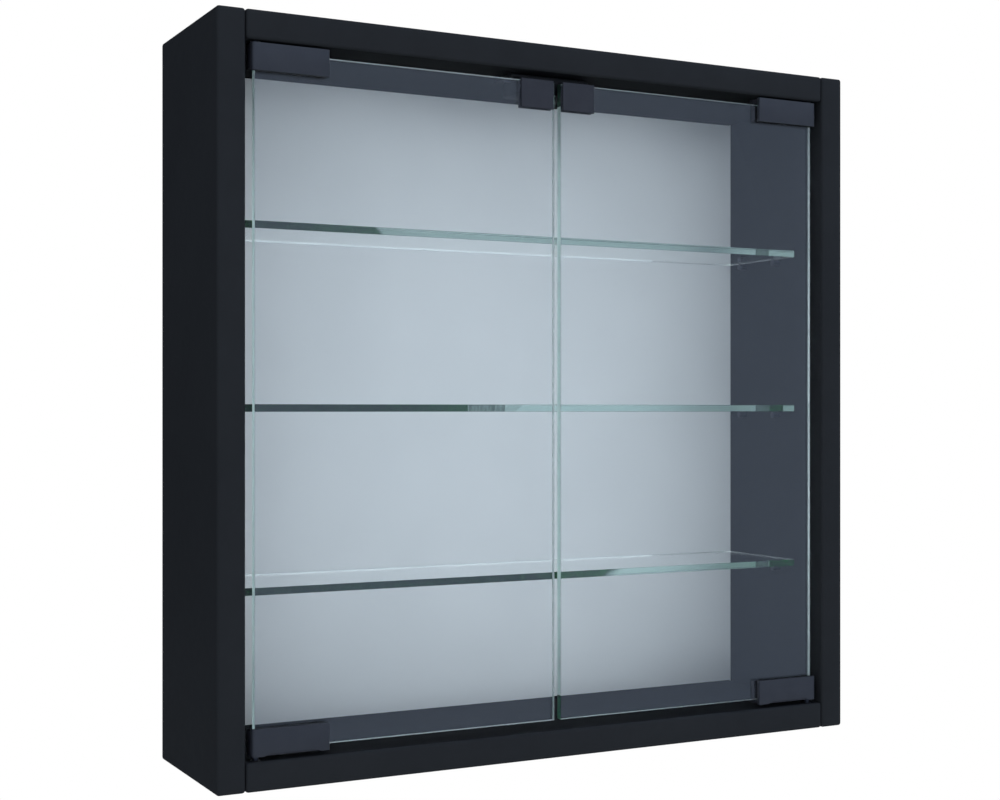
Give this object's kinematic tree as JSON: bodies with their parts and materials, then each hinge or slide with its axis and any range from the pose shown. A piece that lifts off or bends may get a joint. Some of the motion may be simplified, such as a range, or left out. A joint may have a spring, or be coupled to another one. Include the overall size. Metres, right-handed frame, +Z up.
{
  "type": "wall display cabinet with glass doors",
  "caption": "Wall-hung square display cabinet: dark board frame, light back panel, frameless hinged glass doors, glass shelves on pins, magnetic push latch.",
  "frame": {"origin": "on the wall plane, on the rear edge of the top board, half way along it and 10 mm below the cabinet's top", "axes": "+Y into the wall, +X to the right of someone facing the doors, +Z up"},
  "size_m": [0.6, 0.15, 0.6],
  "materials": {
    "board_anthracite": "matt foil over MDF, anthracite",
    "back_light": "matt white-grey lacquered hardboard",
    "glass_clear": "clear float glass with polished edges",
    "plastic_anthracite": "fine matt moulded, anthracite",
    "metal_anthracite": "satin powder coat, anthracite",
    "rubber_black": "soft matt",
    "steel_bright": "zinc plated",
    "steel_dark": "black oxide",
    "nylon_black": "matt moulded",
    "plywood": "raw birch plywood"
  },
  "bodies": {
    "carcass": {"top_board": "board_anthracite", "bottom_board": "board_anthracite", "side_panel_left": "board_anthracite", "side_panel_right": "board_anthracite", "back_panel": "back_light", "corner_spline_bottom_left": "plywood", "corner_spline_bottom_right": "plywood", "corner_spline_top_left": "plywood", "corner_spline_top_right": "plywood", "glass_shelf_lower": "glass_clear", "glass_shelf_middle": "glass_clear", "glass_shelf_upper": "glass_clear", "shelf_pin_lower_left_front": "steel_dark", "shelf_pin_lower_left_rear": "steel_dark", "shelf_pin_lower_right_front": "steel_dark", "shelf_pin_lower_right_rear": "steel_dark", "shelf_pin_middle_left_front": "steel_dark", "shelf_pin_middle_left_rear": "steel_dark", "shelf_pin_middle_right_front": "steel_dark", "shelf_pin_middle_right_rear": "steel_dark", "shelf_pin_upper_left_front": "steel_dark", "shelf_pin_upper_left_rear": "steel_dark", "shelf_pin_upper_right_front": "steel_dark", "shelf_pin_upper_right_rear": "steel_dark", "latch_body": "plastic_anthracite", "latch_screw_left": "steel_dark", "latch_screw_right": "steel_dark", "hanger_plate_left": "steel_bright", "hanger_plate_right": "steel_bright", "hinge_bottom_left_bush": "nylon_black", "hinge_bottom_right_bush": "nylon_black", "hinge_top_left_bush": "nylon_black", "hinge_top_right_bush": "nylon_black"},
    "door_left": {"door_glass_left": "glass_clear", "strike_clip_left": "metal_anthracite", "hinge_bottom_left_body": "metal_anthracite", "hinge_bottom_left_cap": "plastic_anthracite", "hinge_bottom_left_pad": "rubber_black", "hinge_bottom_left_pin": "steel_dark", "hinge_bottom_left_screw": "steel_dark", "hinge_top_left_body": "metal_anthracite", "hinge_top_left_cap": "plastic_anthracite", "hinge_top_left_pad": "rubber_black", "hinge_top_left_pin": "steel_dark", "hinge_top_left_screw": "steel_dark"},
    "door_right": {"door_glass_right": "glass_clear", "strike_clip_right": "metal_anthracite", "hinge_bottom_right_body": "metal_anthracite", "hinge_bottom_right_cap": "plastic_anthracite", "hinge_bottom_right_pad": "rubber_black", "hinge_bottom_right_pin": "steel_dark", "hinge_bottom_right_screw": "steel_dark", "hinge_top_right_body": "metal_anthracite", "hinge_top_right_cap": "plastic_anthracite", "hinge_top_right_pad": "rubber_black", "hinge_top_right_pin": "steel_dark", "hinge_top_right_screw": "steel_dark"},
    "latch_left": {"latch_plunger_left": "nylon_black"},
    "latch_right": {"latch_plunger_right": "nylon_black"}
  },
  "joints": [
    {"name": "door_left_hinge", "type": "hinge", "parent": "carcass", "child": "door_left", "pos_m": [-0.2665, -0.141, -0.29], "axis": [0, 0, -1], "range_deg": [0, 110]},
    {"name": "door_right_hinge", "type": "hinge", "parent": "carcass", "child": "door_right", "pos_m": [0.2665, -0.141, -0.29], "axis": [0, 0, 1], "range_deg": [0, 110]},
    {"name": "latch_left_push", "type": "slide", "parent": "carcass", "child": "latch_left", "axis": [0, 1, 0], "range_m": [0, 0.003], "stiffness_N_per_m": 300, "springref_m": -0.004},
    {"name": "latch_right_push", "type": "slide", "parent": "carcass", "child": "latch_right", "axis": [0, 1, 0], "range_m": [0, 0.003], "stiffness_N_per_m": 300, "springref_m": -0.004}
  ]
}
